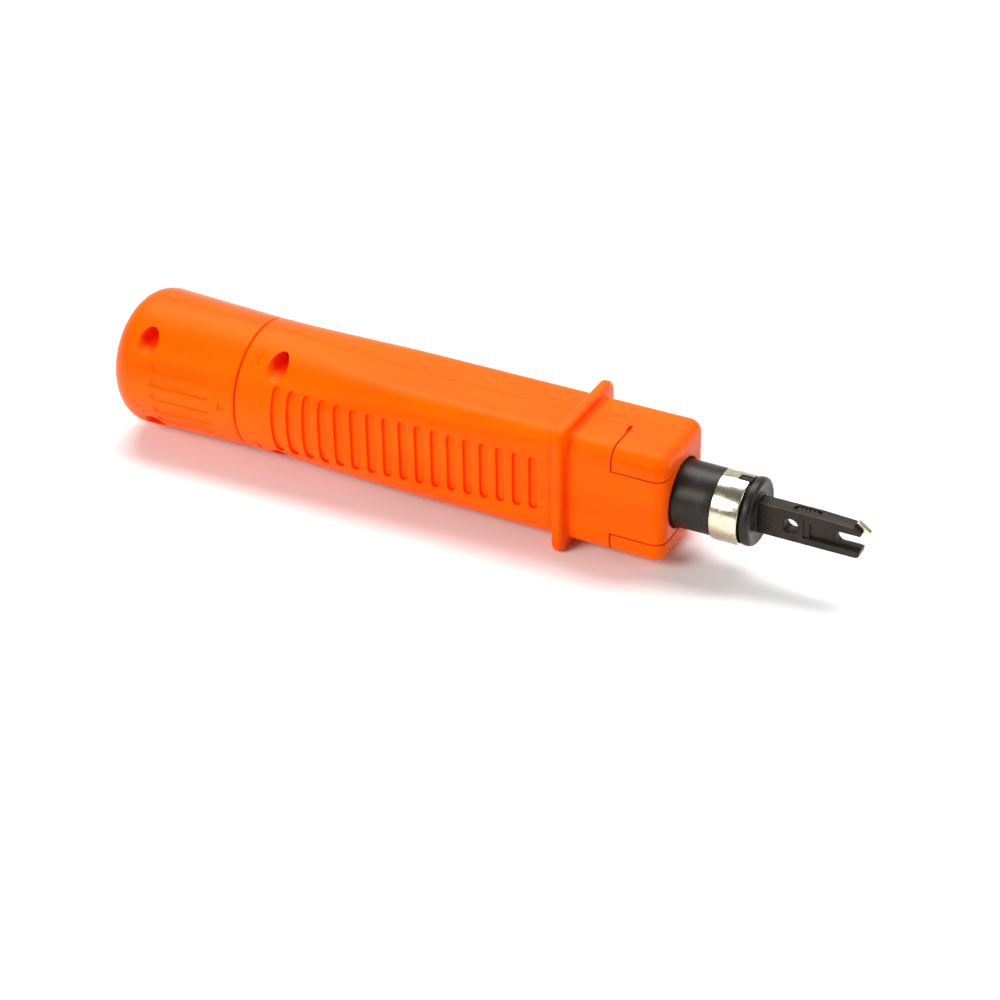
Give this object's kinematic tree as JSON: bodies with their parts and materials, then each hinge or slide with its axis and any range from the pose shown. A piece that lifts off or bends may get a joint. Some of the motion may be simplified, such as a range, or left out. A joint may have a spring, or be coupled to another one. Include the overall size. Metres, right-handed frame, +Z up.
{
  "type": "punch down tool",
  "caption": "Automatic impact punch-down tool: split orange handle with hand guard, turning rear dial, spring plunger with plated collar and a forked wire blade.",
  "frame": {"origin": "on the ground under the middle of the tool's bounding box, in the parting plane of the two handle halves, level with the lowest point of the rear dial", "axes": "+X along the plunger axis towards the blade's tip, +Y towards the right handle half, +Z up"},
  "size_m": [0.1774, 0.0316, 0.0316],
  "materials": {
    "orange_abs": "injection-moulded orange ABS, satin, slightly translucent",
    "black_acetal": "moulded black plastic, lightly scuffed satin",
    "zinc_steel": "bright zinc-plated steel",
    "spring_steel": "drawn spring wire",
    "nickel_plate": "warm polished nickel plate",
    "black_oxide_steel": "dark brown black-oxide steel",
    "ground_tool_steel": "bright ground tool steel"
  },
  "bodies": {
    "housing": {"housing_left": "orange_abs", "housing_right": "orange_abs", "housing_screw_upper": "zinc_steel", "housing_screw_lower": "zinc_steel", "thrust_washer": "zinc_steel", "dial_detent_ball": "zinc_steel", "dial_detent_spring": "spring_steel", "return_spring": "spring_steel", "hammer_spring": "spring_steel"},
    "dial": {"dial_left": "orange_abs", "dial_right": "orange_abs", "dial_screw_upper": "zinc_steel", "dial_screw_lower": "zinc_steel", "preload_spindle": "zinc_steel"},
    "preload": {"preload_nut": "black_acetal"},
    "hammer": {"hammer": "zinc_steel", "latch_spring": "spring_steel"},
    "latch": {"latch_plate": "zinc_steel"},
    "plunger": {"plunger_tube": "black_acetal", "striker_rod": "zinc_steel", "striker_cross_pin": "zinc_steel", "collar_ring": "nickel_plate", "rotor_clip": "spring_steel"},
    "rotor": {"lock_rotor": "black_acetal", "blade_ball": "zinc_steel", "blade_ball_spring": "spring_steel"},
    "blade": {"blade_body": "black_oxide_steel", "blade_cutter": "ground_tool_steel"}
  },
  "joints": [
    {"name": "dial_turn", "type": "hinge", "parent": "housing", "child": "dial", "pos_m": [0.02485, 0, 0.0158], "axis": [1, 0, 0], "range_deg": [-48, 48]},
    {"name": "preload_slide", "type": "slide", "parent": "housing", "child": "preload", "axis": [1, 0, 0], "range_m": [-0.00085, 0.00085]},
    {"name": "plunger_slide", "type": "slide", "parent": "housing", "child": "plunger", "axis": [-1, 0, 0], "range_m": [0, 0.009], "stiffness_N_per_m": 1200, "springref_m": -0.01, "deforming": ["return_spring"]},
    {"name": "hammer_slide", "type": "slide", "parent": "housing", "child": "hammer", "axis": [-1, 0, 0], "range_m": [0, 0.0091], "deforming": ["hammer_spring"]},
    {"name": "latch_slide", "type": "slide", "parent": "hammer", "child": "latch", "axis": [0, 0, -1], "range_m": [0, 0.0014], "deforming": ["latch_spring"]},
    {"name": "blade_turn", "type": "hinge", "parent": "plunger", "child": "rotor", "pos_m": [0.05485, 0, 0.0158], "axis": [1, 0, 0], "range_deg": [0, 90]},
    {"name": "blade_pull", "type": "slide", "parent": "rotor", "child": "blade", "axis": [1, 0, 0], "range_m": [0, 0.018]}
  ],
  "couplings": [
    {"joint": "preload_slide", "follows": "dial_turn", "m_per_rad": 0.000955},
    {"joint": "hammer_slide", "follows": "plunger_slide", "ratio": 1},
    {"joint": "latch_slide", "follows": "plunger_slide", "ratio": 0.15}
  ]
}
